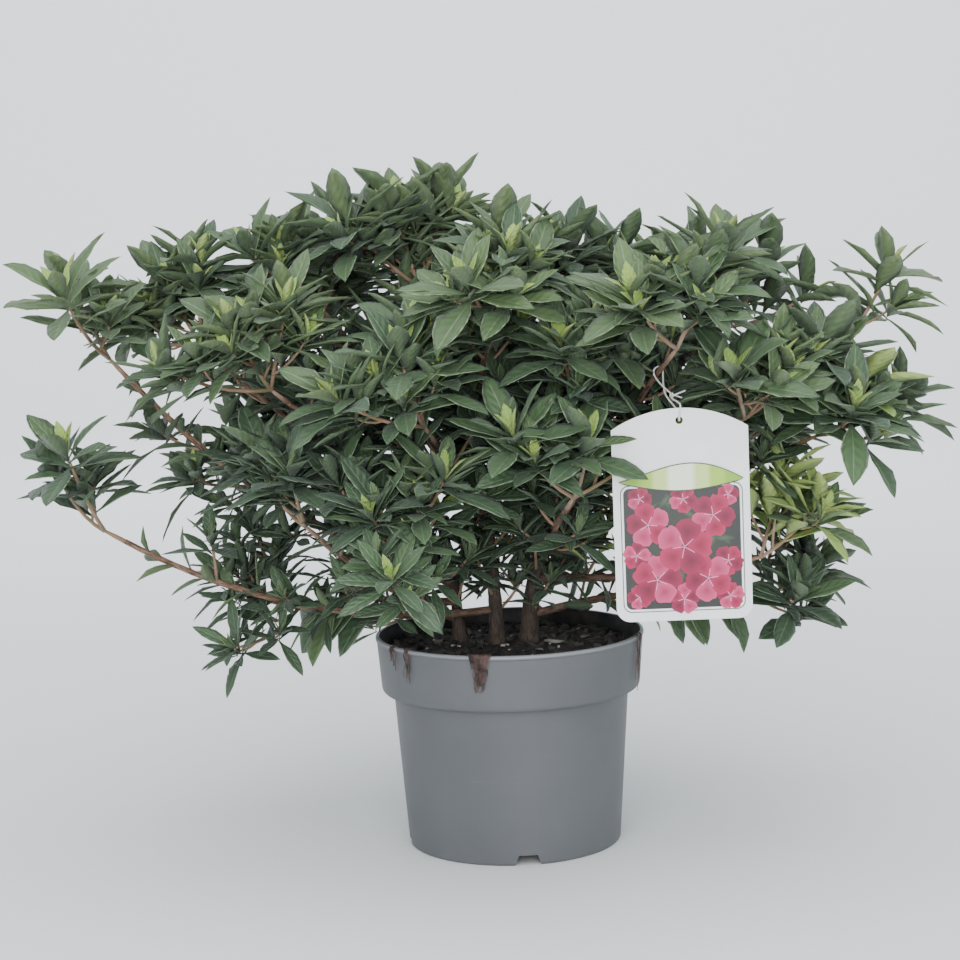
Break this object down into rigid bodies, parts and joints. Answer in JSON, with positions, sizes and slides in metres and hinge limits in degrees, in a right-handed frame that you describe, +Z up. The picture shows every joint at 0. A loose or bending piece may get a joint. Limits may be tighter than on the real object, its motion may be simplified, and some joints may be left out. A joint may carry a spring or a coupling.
{
  "type": "azalea shrub in a nursery pot",
  "caption": "Evergreen azalea shrub in a grey plastic nursery pot, wide open crown of leafy shoots on low woody stems, with a hanging picture card.",
  "frame": {"origin": "on the ground under the middle of the pot, at the flat pad in the centre of its underside", "axes": "+Z up along the pot's axis, +X to the viewer's right and -Y to the viewer as the picture shows the shrub"},
  "size_m": [0.67, 0.4803, 0.4953],
  "materials": {
    "pot_plastic": "matte",
    "potting_soil": "matte",
    "stem_bark": "matte",
    "bough_bark": "matte",
    "leaves": "matte",
    "young_leaves": "matte",
    "card_print": "satin",
    "string_cotton": "matte"
  },
  "bodies": {
    "root": {"pot": "pot_plastic", "soil": "potting_soil", "stem_left": "stem_bark", "stem_middle": "stem_bark", "stem_right": "stem_bark", "bough_left_high": "bough_bark", "bough_left_top": "bough_bark", "bough_front_left_high": "bough_bark", "bough_front_left": "bough_bark", "bough_front_left_low": "bough_bark", "bough_left_foot": "bough_bark", "bough_back_left_high": "bough_bark", "bough_back_left": "bough_bark", "bough_left_low": "bough_bark", "bough_front_high": "bough_bark", "bough_front_middle": "bough_bark", "bough_front_right_high": "bough_bark", "bough_back_high": "bough_bark", "bough_back_middle": "bough_bark", "bough_crest_right": "bough_bark", "bough_right_high": "bough_bark", "bough_right_middle": "bough_bark", "bough_right_front": "bough_bark", "bough_right_foot": "bough_bark", "bough_card_bough": "bough_bark", "bough_right_shoulder": "bough_bark", "bough_front_right": "bough_bark", "bough_back_right_high": "bough_bark", "bough_back_right": "bough_bark", "bough_back_low": "bough_bark", "picture_card": "card_print", "card_string": "string_cotton", "leaves_crest_left": "leaves", "leaves_top": "leaves", "leaves_crest_far_right": "leaves", "leaves_left_high": "leaves", "leaves_left_top": "leaves", "leaves_front_left_high": "leaves", "leaves_front_left": "leaves", "leaves_front_left_low": "leaves", "leaves_left_foot": "leaves", "leaves_back_left_high": "leaves", "leaves_back_left": "leaves", "leaves_left_low": "leaves", "leaves_front_high": "leaves", "leaves_front_middle": "leaves", "leaves_front_right_high": "leaves", "leaves_back_high": "leaves", "leaves_back_middle": "leaves", "leaves_crest_right": "leaves", "leaves_right_high": "leaves", "leaves_right_middle": "leaves", "leaves_right_front": "young_leaves", "leaves_right_foot": "leaves", "leaves_card_bough": "leaves", "leaves_right_shoulder": "leaves", "leaves_front_right": "leaves", "leaves_back_right_high": "leaves", "leaves_back_right": "leaves", "leaves_back_low": "leaves"}
  },
  "joints": []
}
